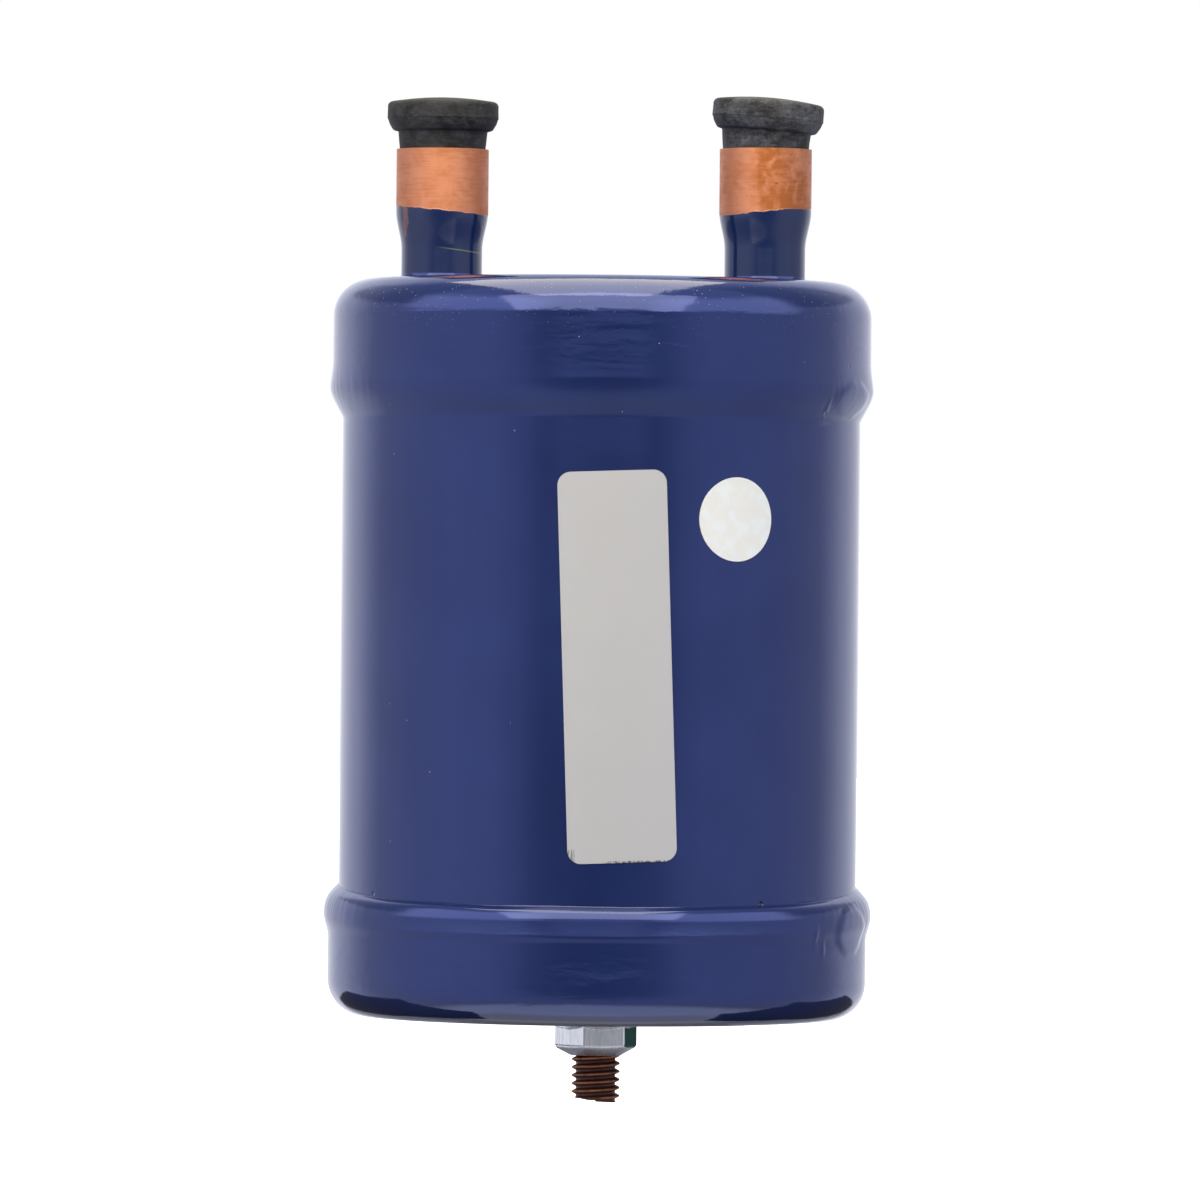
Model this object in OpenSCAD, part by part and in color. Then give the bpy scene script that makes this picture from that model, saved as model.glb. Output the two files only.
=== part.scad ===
// Suction line accumulator: a welded steel can that keeps liquid refrigerant out of a compressor.
// Vapour enters by the short inlet stub, leaves by the U-tube, and oil is metered back at its bend.
// The origin is on the can's axis at the underside of the nut, Z is up and the tubes stand along X.

/* [Can] */
// Outside diameter of the shell
shell_d = 101.6; // [95:0.1:130]
// Wall of the shell
shell_wall = 2.1; // [1:0.1:3]
// Height over both end caps
can_h = 144.5; // [130:0.5:240]

/* [End caps] */
// Sheet thickness of the caps
cap_wall = 2; // [1:0.1:3.5]
// Height of each cap over its skirt
cap_h = 21.1; // [18:0.1:25]
// Outer corner radius of the top cap
top_corner_r = 7.2; // [4.5:0.1:7.5]
// Outer corner radius of the bottom cap
bottom_corner_r = 7.2; // [4.5:0.1:7.5]
// Straight skirt left between a cap's corner and the end of the shell
end_gap = 2.5; // [0.5:0.1:5]
// Gap between a cap's skirt and the shell
cap_gap = 0.05; // [0.02:0.01:0.2]

/* [Weld beads] */
// Radius of a bead's rounded section
bead_r = 8; // [5:0.5:12]
// Height of the top bead's crest over the cap
top_bead_rise = 0.45; // [0.2:0.05:1]
// Height of the bottom bead's crest over the cap
bottom_bead_rise = 0.65; // [0.2:0.05:1]

/* [Tubes] */
// Distance from the outside of the shell to a tube's axis
tube_inset = 19.05; // [17:0.05:24]
// Outside diameter of the tube, and the tube size that the sockets take
tube_d = 15.875; // [12.7:0.125:17]
// Wall of the tube
tube_wall = 1.07; // [0.7:0.01:1.5]
// Plain length between the cap and the flare
tube_neck = 6; // [3:0.1:20]
// Length of the flare
socket_flare = 7.5; // [4:0.1:12]
// Depth of the straight socket
socket_depth = 12.2; // [9.5:0.1:20]
// Height of the outlet's lip over the inlet's lip
outlet_rise = 0.6; // [0:0.1:10]
// Gap all round between a socket and the tube it takes
socket_gap = 0.05; // [0.02:0.01:0.15]
// Gap all round a tube in its hole in the cap
hole_gap = 0.1; // [0.05:0.01:0.25]
// Leg of the braze fillet round a tube
braze_leg = 1.2; // [0.5:0.1:2]

/* [Inlet deflector] */
// Reach of the inlet tube below the top cap
inlet_reach = 14; // [10:0.5:24]
// Wall of the deflector cup
deflector_wall = 1; // [0.6:0.1:1.5]
// Length of the deflector that grips the tube
deflector_lap = 6; // [3:0.5:9]
// Drop from the end of the tube to the deflector's floor
deflector_drop = 14; // [8:0.5:20]
// Width of the deflector's window
window_w = 13; // [6:0.5:14]
// Direction that the window faces
window_turn = 225; // [200:1:250]
// Gap between the deflector and the tube
deflector_gap = 0.05; // [0.02:0.01:0.15]

/* [U-tube] */
// Bend radius at the tube's centre line
bend_r = 24; // [21:0.5:26]
// Direction from the outlet leg to the return leg
bend_turn = 140; // [132:1:146]
// Gap between the return leg's mouth and the top cap
mouth_gap = 14; // [8:0.5:30]
// Slant of the return leg's mouth
mouth_slant = 30; // [0:1:45]
// Height of the brace above the bend's centre
brace_rise = 45; // [10:1:60]
// Thickness of the brace plate
brace_t = 2; // [1:0.1:4]
// Rim of the brace plate round each leg
brace_rim = 3; // [1.5:0.1:5]
// Gap between the brace and a leg
brace_gap = 0.1; // [0.05:0.01:0.25]

/* [Oil return] */
// Diameter of the metering hole
metering_d = 1.2; // [0.8:0.1:2]
// Diameter of the bush where it passes through the tube's wall
bush_d = 4.8; // [3.5:0.1:6]
// Rim of the bush's flange
bush_rim = 1.2; // [0.8:0.1:2]
// Thickness of the bush's flange
bush_flange = 1.2; // [0.8:0.1:2]
// Height that the bush stands inside the tube
bush_stand = 0.6; // [0.3:0.1:1.5]
// Gap round the bush and its flange
bush_gap = 0.05; // [0.02:0.01:0.15]
// Wall of the screen
screen_wall = 0.35; // [0.25:0.05:0.6]
// Height of the screen thimble
screen_h = 6.5; // [5:0.1:9]
// Diameter of the screen's openings
screen_hole_d = 1.4; // [0.8:0.1:1.6]
// Openings round the screen in each row
screen_holes = 10; // [6:1:10]
// Thickness of the band that clamps the screen
ring_t = 0.8; // [0.5:0.1:1.5]
// Gap between the screen and the floor of the bottom cap
sump_gap = 3; // [2:0.5:10]

/* [Shipping plugs] */
// Diameter of a plug's head
plug_d = 22; // [20:0.1:26]
// Height of a plug's head at its crown
plug_head_h = 6.6; // [5:0.1:9]
// Rise of the crown over the head's edge
plug_crown = 1; // [0.4:0.1:2]
// Radius of the head's lower edge
plug_edge_r = 2.2; // [0.5:0.1:2.4]
// Width of a plug's shoulder on the socket's lip
plug_shoulder = 0.56; // [0.3:0.01:1]
// Height of a plug's neck on the socket's lip
plug_neck_h = 3.6; // [2:0.1:6]
// Depth of a plug in its socket
plug_insert = 9; // [4:0.5:9]
// Gap between a plug and its socket
plug_gap = 0.05; // [0.02:0.01:0.15]
// Lean of the outlet's plug
plug_lean = 4; // [1:0.5:8]

/* [Stud and nut] */
// Diameter of the stud over its thread
thread_d = 9.525; // [8:0.025:10]
// Pitch of the thread
thread_pitch = 1.5875; // [1:0.0125:1.75]
// Length of the free thread under the nut
stud_free = 9.4; // [6:0.1:30]
// Chamfer at the stud's tip
tip_chamfer = 0.8; // [0.3:0.1:1.5]
// Diameter of the stud's head inside the can
stud_head_d = 18; // [14:0.5:24]
// Thickness of the stud's head
stud_head_t = 3; // [2:0.1:4]
// Leg of the weld round the stud's head
stud_weld_leg = 2; // [1:0.1:3]
// Gap all round the thread in its hole in the cap
stud_gap = 0.15; // [0.05:0.05:0.5]
// Nut across its flats
nut_af = 14.29; // [13:0.01:17]
// Height of the nut
nut_h = 7.5; // [6:0.1:10]
// Turn of the nut about the stud
nut_turn = 12.5; // [0:0.5:60]
// Width of the nut's lower face outside the thread
nut_land = 0.22; // [0.1:0.01:1]
// Radius that blends the nut's lower cone into its sides
nut_blend_r = 2.4; // [1:0.1:3]
// Height of the round collar at the nut's upper end
nut_collar_h = 1.6; // [0.5:0.1:2.5]
// Height of the cone between the nut's flats and its collar
nut_collar_cone = 0.55; // [0.3:0.05:1]
// Rim of the nut's collar past its corners
nut_collar_rim = 0.06; // [0.04:0.01:0.5]
// Gap between the nut and the stud, and below the nut
nut_gap = 0.03; // [0.02:0.01:0.1]

/* [Labels] */
// Width of the data label
label_w = 21; // [10:0.1:26]
// Clear shell between the bottom bead and the data label
label_low_gap = 4.5; // [2:0.1:20]
// Clear shell between the data label and the top bead
label_top_gap = 10.8; // [2:0.1:20]
// Corner radius of the data label
label_corner = 2.6; // [0.5:0.1:5]
// Place of the data label's centre to the right of the front
label_x = 3.4; // [-6:0.1:6]
// Tilt of the data label
label_tilt = 2.1; // [-5:0.1:5]
// Diameter of the round label
round_label_d = 16.2; // [8:0.1:18]
// Place of the round label's centre round the can from the front
round_label_turn = 31; // [30:0.5:60]
// Drop of the round label's edge below the data label's upper edge
round_label_drop = 1; // [0:0.1:30]
// Thickness of the labels
label_t = 0.15; // [0.05:0.01:0.4]

/* [Hidden] */
$fn = 96;

paint_blue = "#2a3580";
copper = "#b8683f";
steel = "#8d9096";
brass = "#b39a5a";
rubber = "#2b2c2e";
zinc = "#c5cbd0";
stud_brown = "#6b4232";
label_silver = "#d5d8d9";

// How far a cutting solid runs past the face it cuts
overcut = 1;
// How far a plug's stem and neck run on inside the rubber that they join
plug_root = 0.5;
// Number of straight steps along a flare
flare_steps = 16;
// Angle between the nut's lower cone and its lower face
nut_cone = 30;
// Step of the points along the nut's blend
blend_step = 10;
// Pitch diameter of a 60 degree thread lies this share of the pitch under the outside, all round
pitch_line = 0.3248;

shell_r = shell_d / 2;
shell_in_r = shell_r - shell_wall;
cap_in_r = shell_r + cap_gap;
cap_r = cap_in_r + cap_wall;
can_bottom = nut_h;
can_top = can_bottom + can_h;
can_floor = can_bottom + cap_wall;
can_roof = can_top - cap_wall;
bottom_edge = can_bottom + cap_h;
top_edge = can_top - cap_h;
shell_start = can_bottom + bottom_corner_r + end_gap;
shell_end = can_top - top_corner_r - end_gap;

tube_r = tube_d / 2;
tube_in_r = tube_r - tube_wall;
socket_in_r = tube_r + socket_gap;
socket_r = socket_in_r + tube_wall;
socket_lip = can_top + tube_neck + socket_flare + socket_depth;
tube_x = shell_r - tube_inset;
outlet_lip = socket_lip + outlet_rise;

inlet_end = can_roof - inlet_reach;
deflector_in_r = tube_r + deflector_gap;
deflector_r = deflector_in_r + deflector_wall;
deflector_floor = inlet_end - deflector_drop;

bush_r = bush_d / 2;
flange_r = bush_r + bush_rim;
screen_in_r = flange_r + bush_gap;
screen_r = screen_in_r + screen_wall;
bend_low = can_floor + sump_gap + screen_h;
bend_z = bend_low + tube_r + bend_r;
mouth_z = can_roof - mouth_gap;

plug_r = plug_d / 2;
plug_neck_r = socket_in_r + plug_shoulder;
plug_dome_r = (plug_r * plug_r + plug_crown * plug_crown) / (2 * plug_crown);
plug_bend_r = plug_neck_h * 180 / (PI * plug_lean);
plug_root_turn = plug_lean * plug_root / plug_neck_h;

thread_r = thread_d / 2;
mesh_r = thread_r - pitch_line * thread_pitch;
stud_head_r = stud_head_d / 2;
stud_tip = -stud_free;
nut_corner_r = nut_af / 2 / cos(30);
nut_face_r = thread_r + nut_land;
nut_collar_r = nut_corner_r + nut_collar_rim;
nut_blend_z = (nut_blend_r + nut_collar_r - nut_face_r) * tan(nut_cone);
nut_collar_z = nut_h - nut_collar_h;

label_low = bottom_edge + bead_width(bottom_bead_rise) + label_low_gap;
label_top = top_edge - bead_width(top_bead_rise) - label_top_gap;
label_h = label_top - label_low;
label_z = (label_top + label_low) / 2;
round_label_z = label_top - round_label_drop - round_label_d / 2;

// Smooth step from 0 to 1
function ease(t) = t * t * (3 - 2 * t);

// Points up a flare that widens from one radius to another, from a given height
function flare(low_r, high_r, z) = [for (i = [0 : flare_steps])
    [low_r + (high_r - low_r) * ease(i / flare_steps), z + socket_flare * i / flare_steps]];

// Width of a bead on the shell, from the skirt's edge to its toe
function bead_width(rise) = sqrt(pow(bead_r, 2) - pow(bead_r - rise - cap_r + shell_r, 2));

function reversed(list) = [for (i = [len(list) - 1 : -1 : 0]) list[i]];

// Half section of a block with a rounded outer corner at its foot
module round_foot(r, h, corner) {
    square([r - corner, h]);
    translate([0, corner]) square([r, h - corner]);
    translate([r - corner, corner]) circle(corner);
}

// Drawn cup that stands on its closed end
module cap_cup(corner) {
    rotate_extrude()
        difference() {
            round_foot(cap_r, cap_h, corner);
            translate([0, cap_wall]) round_foot(cap_in_r, cap_h, corner - cap_wall);
        }
}

// Lap weld on the shell below a skirt's edge, with the edge at the origin's height
module weld_ring(rise) {
    rotate_extrude()
        difference() {
            translate([cap_r + rise - bead_r, 0]) circle(bead_r);
            translate([0, -bead_r]) square([shell_r, 2 * bead_r]);
            square([cap_r, bead_r]);
        }
}

// Plain tube that ends in a socket, from its lower end to the lip
module socket_stub(low_end, high_end) {
    lip = high_end - low_end;
    neck_top = lip - socket_depth - socket_flare;
    translate([0, 0, low_end])
        rotate_extrude()
            polygon(concat(
                [[tube_in_r, 0], [tube_r, 0]],
                flare(tube_r, socket_r, neck_top),
                [[socket_r, lip], [socket_in_r, lip]],
                reversed(flare(tube_in_r, socket_in_r, neck_top))));
}

// Hollow fillet of braze metal that runs from a tube out on to the cap
module braze_fillet() {
    rotate_extrude()
        difference() {
            translate([tube_r, 0]) square(braze_leg);
            translate([tube_r + braze_leg, braze_leg]) circle(braze_leg);
        }
}

// Crowned head of a plug, with its rounded lower edge
module plug_head() {
    rotate_extrude()
        intersection() {
            round_foot(plug_r, plug_head_h, plug_edge_r);
            translate([0, plug_head_h - plug_dome_r]) circle(plug_dome_r);
        }
}

// Stem of a plug inside its socket, rooted in the neck
module plug_stem() {
    translate([0, 0, -plug_insert])
        cylinder(r = socket_in_r - plug_gap, h = plug_insert + plug_root);
}

// Thin skin on the shell, cut to the outline of its children
module shell_skin() {
    intersection() {
        translate([0, 0, shell_start])
            difference() {
                cylinder(r = shell_r + label_t, h = shell_end - shell_start);
                translate([0, 0, -overcut])
                    cylinder(r = shell_r, h = shell_end - shell_start + 2 * overcut);
            }
        children();
    }
}

module rounded_plate(w, h, corner) {
    square([w - 2 * corner, h], center = true);
    square([w, h - 2 * corner], center = true);
    for (x = [-1, 1], y = [-1, 1])
        translate([x * (w / 2 - corner), y * (h / 2 - corner)]) circle(corner);
}

// Places its children in the plane of the U-tube, with the outlet leg at the origin
module in_bend_plane() {
    translate([tube_x, 0, 0]) rotate([0, 0, bend_turn]) children();
}

// Places its children on the axis of the oil bush, at the lowest point of the bend
module at_bend_low() {
    in_bend_plane() translate([bend_r, 0, bend_low]) children();
}

module shell() {
    color(paint_blue)
        translate([0, 0, shell_start])
            rotate_extrude()
                translate([shell_in_r, 0]) square([shell_wall, shell_end - shell_start]);
}

module top_cap() {
    color(paint_blue)
        difference() {
            translate([0, 0, can_top]) mirror([0, 0, 1]) cap_cup(top_corner_r);
            for (side = [-1, 1])
                translate([side * tube_x, 0, can_roof - overcut])
                    cylinder(r = tube_r + hole_gap, h = cap_wall + 2 * overcut);
        }
}

module bottom_cap() {
    color(paint_blue)
        difference() {
            translate([0, 0, can_bottom]) cap_cup(bottom_corner_r);
            translate([0, 0, can_bottom - overcut])
                cylinder(r = thread_r + stud_gap, h = cap_wall + 2 * overcut);
        }
}

module top_weld() {
    color(paint_blue) translate([0, 0, top_edge]) weld_ring(top_bead_rise);
}

module bottom_weld() {
    color(paint_blue) translate([0, 0, bottom_edge]) mirror([0, 0, 1]) weld_ring(bottom_bead_rise);
}

module inlet_tube() {
    color(copper) translate([-tube_x, 0, 0]) socket_stub(inlet_end, socket_lip);
}

module u_bend() {
    translate([bend_r, 0, bend_z])
        rotate([-90, 0, 0])
            rotate_extrude(angle = 180)
                translate([bend_r, 0])
                    difference() {
                        circle(tube_r);
                        circle(tube_in_r);
                    }
}

// Straight leg with a mouth that slants away from the outlet leg
module return_leg() {
    translate([2 * bend_r, 0, bend_z])
        difference() {
            rotate_extrude()
                translate([tube_in_r, 0]) square([tube_wall, mouth_z - bend_z]);
            translate([-tube_r, 0, mouth_z - bend_z])
                rotate([0, mouth_slant, 0])
                    translate([0, -tube_d, 0]) cube(2 * tube_d);
        }
}

module outlet_tube() {
    color(copper)
        difference() {
            in_bend_plane() {
                socket_stub(bend_z, outlet_lip);
                u_bend();
                return_leg();
            }
            at_bend_low()
                translate([0, 0, -overcut])
                    cylinder(r = bush_r + bush_gap, h = tube_wall + 2 * overcut);
        }
}

module inlet_braze() {
    color(paint_blue) translate([-tube_x, 0, can_top]) braze_fillet();
}

module outlet_braze() {
    color(paint_blue) translate([tube_x, 0, can_top]) braze_fillet();
}

module inlet_deflector() {
    color(steel)
        translate([-tube_x, 0, deflector_floor])
            difference() {
                cylinder(r = deflector_r, h = deflector_drop + deflector_lap);
                translate([0, 0, deflector_wall])
                    cylinder(r = deflector_in_r, h = deflector_drop + deflector_lap);
                rotate([0, 0, window_turn])
                    translate([0, -window_w / 2, deflector_wall])
                        cube([deflector_r + overcut, window_w, deflector_drop - deflector_wall]);
            }
}

module leg_brace() {
    color(steel)
        in_bend_plane()
            translate([0, 0, bend_z + brace_rise])
                linear_extrude(brace_t)
                    difference() {
                        union() {
                            for (x = [0, 2 * bend_r]) translate([x, 0]) circle(tube_r + brace_rim);
                            translate([bend_r, 0]) square([2 * bend_r, tube_d], center = true);
                        }
                        for (x = [0, 2 * bend_r]) translate([x, 0]) circle(tube_r + brace_gap);
                    }
}

module oil_orifice() {
    bush_h = bush_flange + tube_wall + bush_stand;
    color(brass)
        at_bend_low()
            translate([0, 0, -bush_flange])
                difference() {
                    union() {
                        cylinder(r = flange_r, h = bush_flange);
                        cylinder(r = bush_r, h = bush_h);
                    }
                    translate([0, 0, -overcut]) cylinder(d = metering_d, h = bush_h + 2 * overcut);
                }
}

module oil_screen() {
    rows = [1, 2] * (screen_h - bush_flange) / 3;
    color(steel)
        at_bend_low()
            translate([0, 0, -screen_h])
                difference() {
                    cylinder(r = screen_r, h = screen_h);
                    translate([0, 0, screen_wall]) cylinder(r = screen_in_r, h = screen_h);
                    for (z = rows, i = [0 : screen_holes - 1])
                        translate([0, 0, z])
                            rotate([0, 90, i * 360 / screen_holes])
                                cylinder(d = screen_hole_d, h = screen_r + overcut);
                }
}

module screen_ring() {
    color(steel)
        at_bend_low()
            translate([0, 0, -bush_flange])
                rotate_extrude()
                    translate([screen_r, 0]) square([ring_t, bush_flange]);
}

module inlet_plug() {
    color(rubber)
        translate([-tube_x, 0, socket_lip]) {
            plug_stem();
            cylinder(r = plug_neck_r, h = plug_neck_h + plug_root);
            translate([0, 0, plug_neck_h]) plug_head();
        }
}

module outlet_plug() {
    color(rubber)
        translate([tube_x, 0, outlet_lip]) {
            plug_stem();
            translate([plug_bend_r, 0, 0])
                rotate([90, 0, 0])
                    rotate([0, 0, 180 - plug_lean - plug_root_turn])
                        rotate_extrude(angle = plug_lean + plug_root_turn)
                            translate([plug_bend_r, 0]) circle(plug_neck_r);
            translate([plug_bend_r * (1 - cos(plug_lean)), 0, plug_bend_r * sin(plug_lean)])
                rotate([0, plug_lean, 0]) plug_head();
        }
}

// The stretch inside the nut is drawn at the pitch diameter, where the two threads mesh
module mounting_stud() {
    color(stud_brown)
        rotate_extrude()
            polygon([
                [0, stud_tip],
                [thread_r - tip_chamfer, stud_tip],
                [thread_r, stud_tip + tip_chamfer],
                [thread_r, -nut_gap],
                [mesh_r, -nut_gap],
                [mesh_r, can_floor],
                [stud_head_r, can_floor],
                [stud_head_r, can_floor + stud_head_t],
                [0, can_floor + stud_head_t]]);
}

module stud_weld() {
    color(steel)
        translate([0, 0, can_floor])
            rotate_extrude()
                polygon([
                    [stud_head_r, 0],
                    [stud_head_r + stud_weld_leg, 0],
                    [stud_head_r, stud_weld_leg]]);
}

// Half section that rounds a hex bar at its lower end: a cone and its blend
module nut_section() {
    blend = [for (a = [90 - nut_cone : -blend_step : 0])
        [nut_collar_r - nut_blend_r * (1 - cos(a)), nut_blend_z - nut_blend_r * sin(a)]];
    polygon(concat(
        [[0, 0], [nut_face_r, 0]],
        blend,
        [[nut_collar_r, nut_h], [0, nut_h]]));
}

// Half section of the collar, whose cone starts inside the flats
module collar_section() {
    start_z = nut_collar_z - 2 * nut_collar_cone;
    polygon([
        [0, start_z],
        [nut_af - nut_collar_r, start_z],
        [nut_collar_r, nut_collar_z],
        [nut_collar_r, nut_h],
        [0, nut_h]]);
}

module hex_nut() {
    color(zinc)
        difference() {
            union() {
                intersection() {
                    rotate([0, 0, nut_turn]) cylinder(r = nut_corner_r, h = nut_collar_z, $fn = 6);
                    rotate_extrude() nut_section();
                }
                rotate_extrude() collar_section();
            }
            translate([0, 0, -overcut]) cylinder(r = mesh_r + nut_gap, h = nut_h + 2 * overcut);
        }
}

module data_label() {
    color(label_silver)
        shell_skin()
            translate([label_x, 0, label_z])
                rotate([90, 0, 0])
                    rotate([0, 0, label_tilt])
                        linear_extrude(shell_d) rounded_plate(label_w, label_h, label_corner);
}

module round_label() {
    color(label_silver)
        shell_skin()
            translate([0, 0, round_label_z])
                rotate([90, 0, round_label_turn]) cylinder(d = round_label_d, h = shell_d);
}

shell();
top_cap();
bottom_cap();
top_weld();
bottom_weld();
inlet_tube();
outlet_tube();
inlet_braze();
outlet_braze();
inlet_deflector();
leg_brace();
oil_orifice();
oil_screen();
screen_ring();
inlet_plug();
outlet_plug();
mounting_stud();
stud_weld();
hex_nut();
data_label();
round_label();
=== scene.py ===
import math

import bpy
import numpy as np
from mathutils import Euler, Matrix, Vector, noise


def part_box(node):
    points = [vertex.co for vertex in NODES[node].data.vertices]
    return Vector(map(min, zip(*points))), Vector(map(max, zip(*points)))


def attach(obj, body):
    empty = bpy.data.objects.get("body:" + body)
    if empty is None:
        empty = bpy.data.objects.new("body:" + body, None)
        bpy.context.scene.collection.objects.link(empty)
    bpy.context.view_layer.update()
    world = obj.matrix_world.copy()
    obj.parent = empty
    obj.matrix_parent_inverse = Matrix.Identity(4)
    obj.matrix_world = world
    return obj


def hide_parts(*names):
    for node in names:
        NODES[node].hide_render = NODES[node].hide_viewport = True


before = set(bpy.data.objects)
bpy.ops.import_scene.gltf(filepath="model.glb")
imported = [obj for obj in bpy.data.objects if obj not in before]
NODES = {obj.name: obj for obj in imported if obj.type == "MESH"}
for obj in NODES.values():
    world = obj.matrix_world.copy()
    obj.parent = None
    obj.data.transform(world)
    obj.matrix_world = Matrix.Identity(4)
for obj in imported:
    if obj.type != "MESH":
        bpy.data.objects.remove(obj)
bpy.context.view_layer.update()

bl_info = {
    "name": "Suction line accumulator",
    "version": (1, 0, 0),
    "blender": (4, 5, 0),
    "location": "3D View > Sidebar > Accumulator",
    "description": "Dresses the solids of a suction line accumulator and sets it on a pale stage",
    "category": "Object",
}

MM = 0.001


def middle(node):
    """Centre of a node's box."""
    low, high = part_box(node)
    return (low + high) / 2


# Places of the solids, in metres
SHELL_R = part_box("shell")[1].x
CAP_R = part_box("top_cap")[1].x
CAN_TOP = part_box("top_cap")[1].z
TOP_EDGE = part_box("top_cap")[0].z
BOTTOM_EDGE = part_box("bottom_cap")[1].z
INLET_X = middle("inlet_braze").x
OUTLET_X = middle("outlet_braze").x
INLET_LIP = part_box("inlet_tube")[1].z
OUTLET_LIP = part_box("outlet_tube")[1].z
STUD_TIP, STUD_HEAD = (corner.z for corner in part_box("mounting_stud"))
STUD_HEAD_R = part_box("mounting_stud")[1].x
NUT_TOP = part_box("hex_nut")[1].z
LABEL_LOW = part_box("data_label")[0].z


# Settings


def length_property(name, description, millimetres):
    """A length that the user can change."""
    return bpy.props.FloatProperty(
        name=name, description=description, default=millimetres * MM, unit="LENGTH")


def angle_property(name, description, degrees):
    """An angle that the user can change."""
    return bpy.props.FloatProperty(
        name=name, description=description, default=math.radians(degrees), subtype="ANGLE")


def colour_property(name, description, red, green, blue):
    """A colour that the user can change."""
    return bpy.props.FloatVectorProperty(
        name=name, description=description, default=(red, green, blue, 1),
        size=4, subtype="COLOR", min=0, max=1)


class WeldSettings(bpy.types.PropertyGroup):
    """Sizes of the two lap welds."""

    top_crest: length_property("Top crest", "Height of the top bead at its sides", 0.58)
    flat_crest: length_property("Flat crest", "Height of the top bead at the front", 0.12)
    top_toe: length_property("Top toe", "How far the top bead runs down the shell", 6.1)
    side_crest: length_property("Side crest", "Height of the bottom bead at its sides", 0.92)
    side_toe: length_property("Side toe", "How far the bottom bead runs up the shell at its sides", 4.95)
    front_crest: length_property("Front crest", "Height of the bottom bead at the front", 0.37)
    front_toe: length_property("Front toe", "How far the bottom bead runs up the shell at the front", 2.05)
    ripple: length_property("Ripple", "Spacing of the weld ripples", 3.4)


class FastenerSettings(bpy.types.PropertyGroup):
    """Sizes of the stud's thread and the nut."""

    thread_d: length_property("Thread", "Outside diameter of the thread", 9.525)
    pitch: length_property("Pitch", "Pitch of the thread", 1.5875)
    tip_chamfer: length_property("Tip chamfer", "Chamfer at the stud's tip", 0.8)
    nut_flats: length_property("Flats", "Nut across its flats", 14.29)
    nut_turn: angle_property("Nut turn", "Turn of the nut about the stud", 12.5)
    collar: length_property("Collar", "Height of the nut's round collar", 1.6)


class PlugSettings(bpy.types.PropertyGroup):
    """Sizes of the rubber plugs."""

    head_r: length_property("Head", "Radius of a plug's head", 10.95)
    neck: length_property("Neck", "Height of a plug's neck", 3.6)
    height: length_property("Height", "Height of a plug over its socket", 10.2)
    crown: length_property("Crown", "Rise of the head's crown", 1)
    insert: length_property("Insert", "Depth of a plug in its socket", 9)
    lean: angle_property("Lean", "Lean of the outlet's plug", 4)


class FinishColours(bpy.types.PropertyGroup):
    """Colours of the finishes."""

    blue: colour_property("Blue paint", "Glossy paint of the can", 0.0066, 0.0142, 0.069)
    deep_blue: colour_property("Deep blue", "Paint where it has pooled", 0.0046, 0.011, 0.057)
    tube_blue: colour_property("Tube blue", "Thin paint on the copper", 0.004, 0.013, 0.065)
    pit: colour_property("Pits", "Dark pits in the paint", 0.004, 0.005, 0.012)
    dust: colour_property("Dust", "Specks that dried in the paint", 0.42, 0.34, 0.4)
    copper: colour_property("Copper", "Bare copper", 0.515, 0.216, 0.125)
    copper_brown: colour_property("Brown copper", "Tarnish on the copper", 0.33, 0.105, 0.034)
    copper_spot: colour_property("Copper spots", "Dark spots on the copper", 0.2, 0.05, 0.022)
    scratch: colour_property("Scratch", "Scratch in the tube's paint", 0.16, 0.17, 0.06)
    rubber: colour_property("Rubber", "Black rubber", 0.009, 0.009, 0.0095)
    rubber_dust: colour_property("Rubber dust", "Grey bloom on the rubber", 0.084, 0.09, 0.116)
    zinc: colour_property("Zinc", "Bright plating of the nut", 0.93, 0.95, 0.96)
    zinc_cloud: colour_property("Cloudy zinc", "Duller patches of the plating", 0.7, 0.74, 0.77)
    stud_dark: colour_property("Stud", "Dark wash in the thread", 0.09, 0.034, 0.024)
    stud_crest: colour_property("Stud crest", "Rubbed crests of the thread", 0.42, 0.155, 0.085)
    film: colour_property("Label film", "Silver-white film", 0.345, 0.352, 0.395)
    film_smudge: colour_property("Label smudges", "Smudges on the film", 0.36, 0.37, 0.4)
    film_grain: colour_property("Label grain", "Fine grain of the film", 0.27, 0.27, 0.275)
    scuff: colour_property("Scuff", "Dark scuffs on the film", 0.03, 0.03, 0.032)
    pearl: colour_property("Pearl film", "Pearly film of the round label", 0.54, 0.55, 0.575)
    # Painted sheen of the round label: its bluish and pinkish play and its flake glints
    pearl_sheen_blue: colour_property("Pearl blue", "Bluish play of the pearly film", 0.54, 0.59, 0.65)
    pearl_sheen_pink: colour_property("Pearl pink", "Pinkish play of the pearly film", 0.64, 0.57, 0.58)
    pearl_glint_flake: colour_property("Pearl flakes", "Bright flakes in the pearly film", 0.72, 0.72, 0.71)
    steel: colour_property("Steel", "Bare steel inside the can", 0.42, 0.43, 0.45)
    brass: colour_property("Brass", "Turned brass", 0.6, 0.45, 0.18)
    floor: colour_property("Floor", "Pale floor", 0.8, 0.8, 0.8)
    # Cards seen only in reflections: painted shadow in the can's bottom corners, painted reflections in the
    # nut
    black_card: colour_property("Black card", "Dark cards beside the can", 0.02, 0.02, 0.025)
    grey_card: colour_property("Grey card", "Grey card under the nut", 0.75, 0.75, 0.75)
    green_card: colour_property("Green card", "Dark card behind the nut", 0.03, 0.1, 0.09)
    floor_glow: colour_property("Floor glow", "Light that the floor lets through", 0.8, 0.8, 0.8)
    front_light: colour_property("Front light", "Light of the softbox in front", 1, 0.9, 0.64)
    top_light: colour_property("Top light", "Light of the overhead softbox", 1, 0.85, 0.44)


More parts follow.
